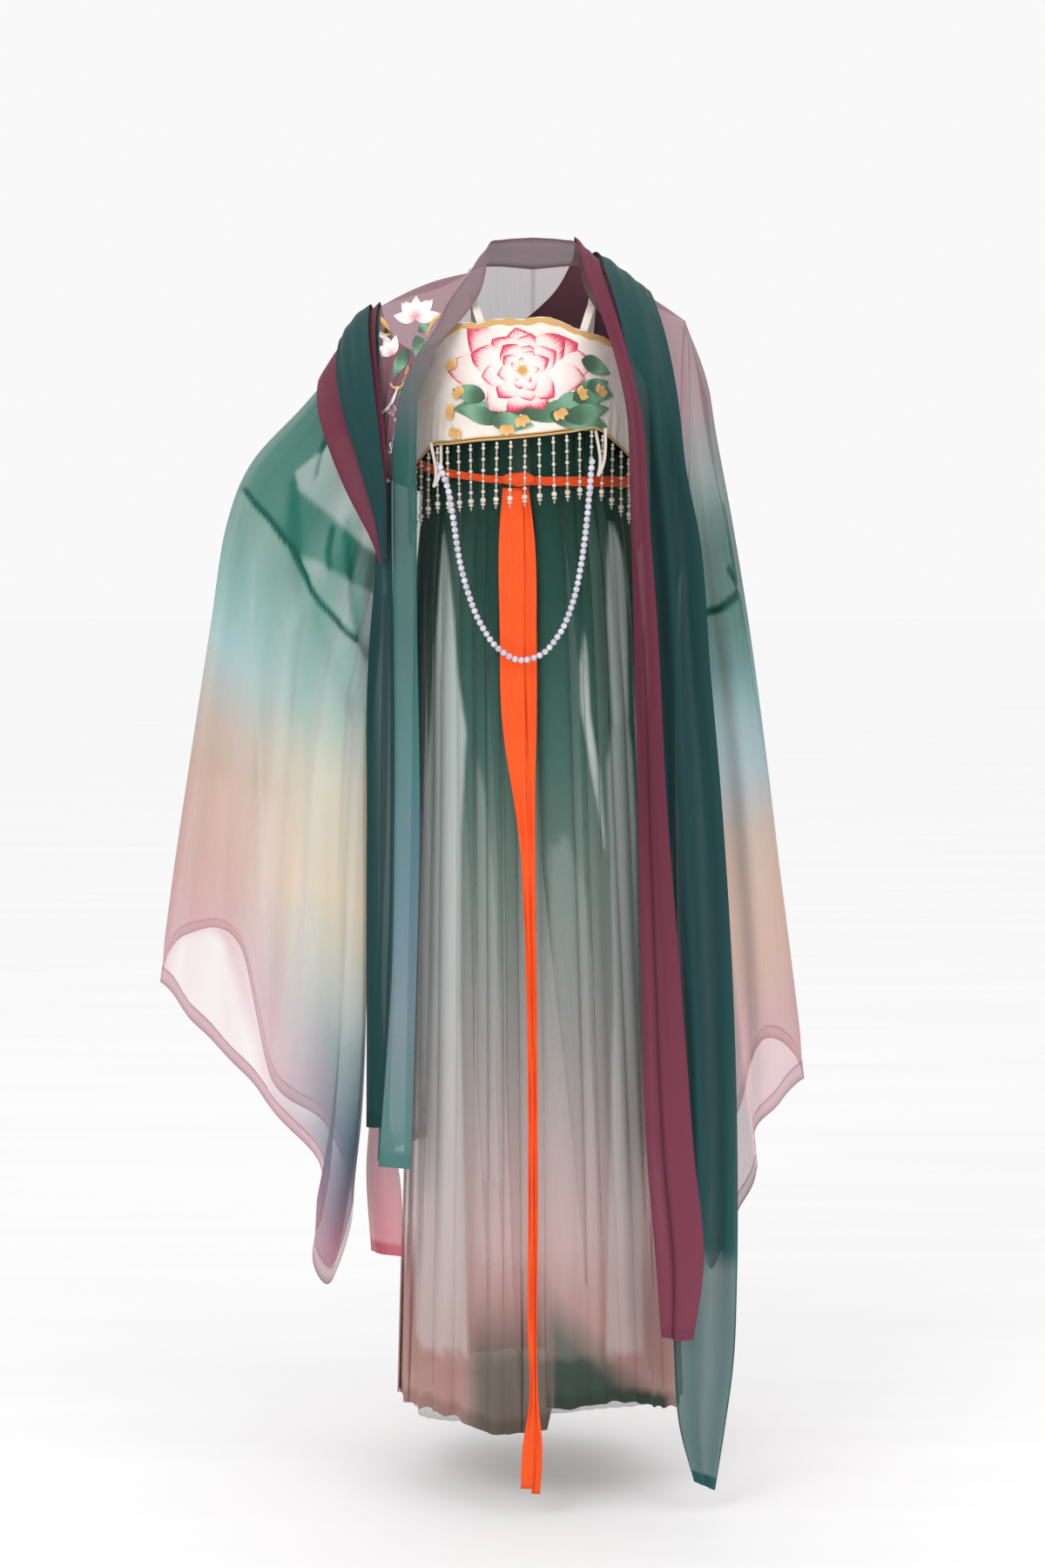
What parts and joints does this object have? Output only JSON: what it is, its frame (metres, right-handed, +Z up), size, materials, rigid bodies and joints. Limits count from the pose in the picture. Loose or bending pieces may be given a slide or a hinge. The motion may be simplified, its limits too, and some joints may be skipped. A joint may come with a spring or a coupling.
{
  "type": "hanfu robe set",
  "caption": "Worn, hollow hanfu set: sheer wide-sleeved open robe, long pleated skirt, embroidered bodice with bead fringe, ribbon belt and draped two-colour shawl.",
  "frame": {"origin": "base of the neck, midway between the two neck points of the robe's shoulder line, where the wearer's shoulders hold the set", "axes": "+Z up, +X to the wearer's left, -Y to the wearer's front"},
  "size_m": [0.804, 0.3866, 1.5249],
  "materials": {
    "robe_gauze": "sheer chiffon dyed in bands from mauve through teal, aqua and cream to pink",
    "cuff_gauze": "doubled chiffon, dusty pink",
    "skirt_gauze": "sheer pleated chiffon, dark green running to dusty pink at the hem",
    "lining": "plain off-white lining cloth",
    "satin": "champagne satin, soft sheen",
    "gold_braid": "stitched gold edging",
    "petal_thread": "embroidery in white, pink and crimson thread",
    "leaf_thread": "embroidery in dark and pale green thread",
    "beads": "imitation pearl and silvered long beads",
    "ribbon": "bright orange ribbon",
    "shawl_green_gauze": "dark teal chiffon, sheer at its end",
    "shawl_wine_gauze": "wine red chiffon"
  },
  "bodies": {
    "root": {"bead_fringe": "beads", "belt_knot": "ribbon", "belt_loop": "ribbon", "belt_tail_left": "ribbon", "belt_tail_right": "ribbon", "bodice_back": "satin", "bodice_foot_trim": "gold_braid", "bodice_front": "satin", "bodice_strap_left": "satin", "bodice_strap_right": "satin", "bodice_top_trim": "gold_braid", "cuff_band_left": "cuff_gauze", "cuff_band_right": "cuff_gauze", "leaf_applique": "leaf_thread", "lotus_applique": "petal_thread", "pearl_swag": "beads", "robe_back": "robe_gauze", "robe_band": "robe_gauze", "robe_front_left": "robe_gauze", "robe_front_right": "robe_gauze", "robe_sleeve_left": "robe_gauze", "robe_sleeve_right": "robe_gauze", "shawl_green": "shawl_green_gauze", "shawl_green_tail": "shawl_green_gauze", "shawl_wine": "shawl_wine_gauze", "shawl_wine_tail": "cuff_gauze", "skirt_lining": "lining", "skirt_outer": "skirt_gauze", "skirt_under": "skirt_gauze", "skirt_waistband": "skirt_gauze"}
  },
  "joints": []
}
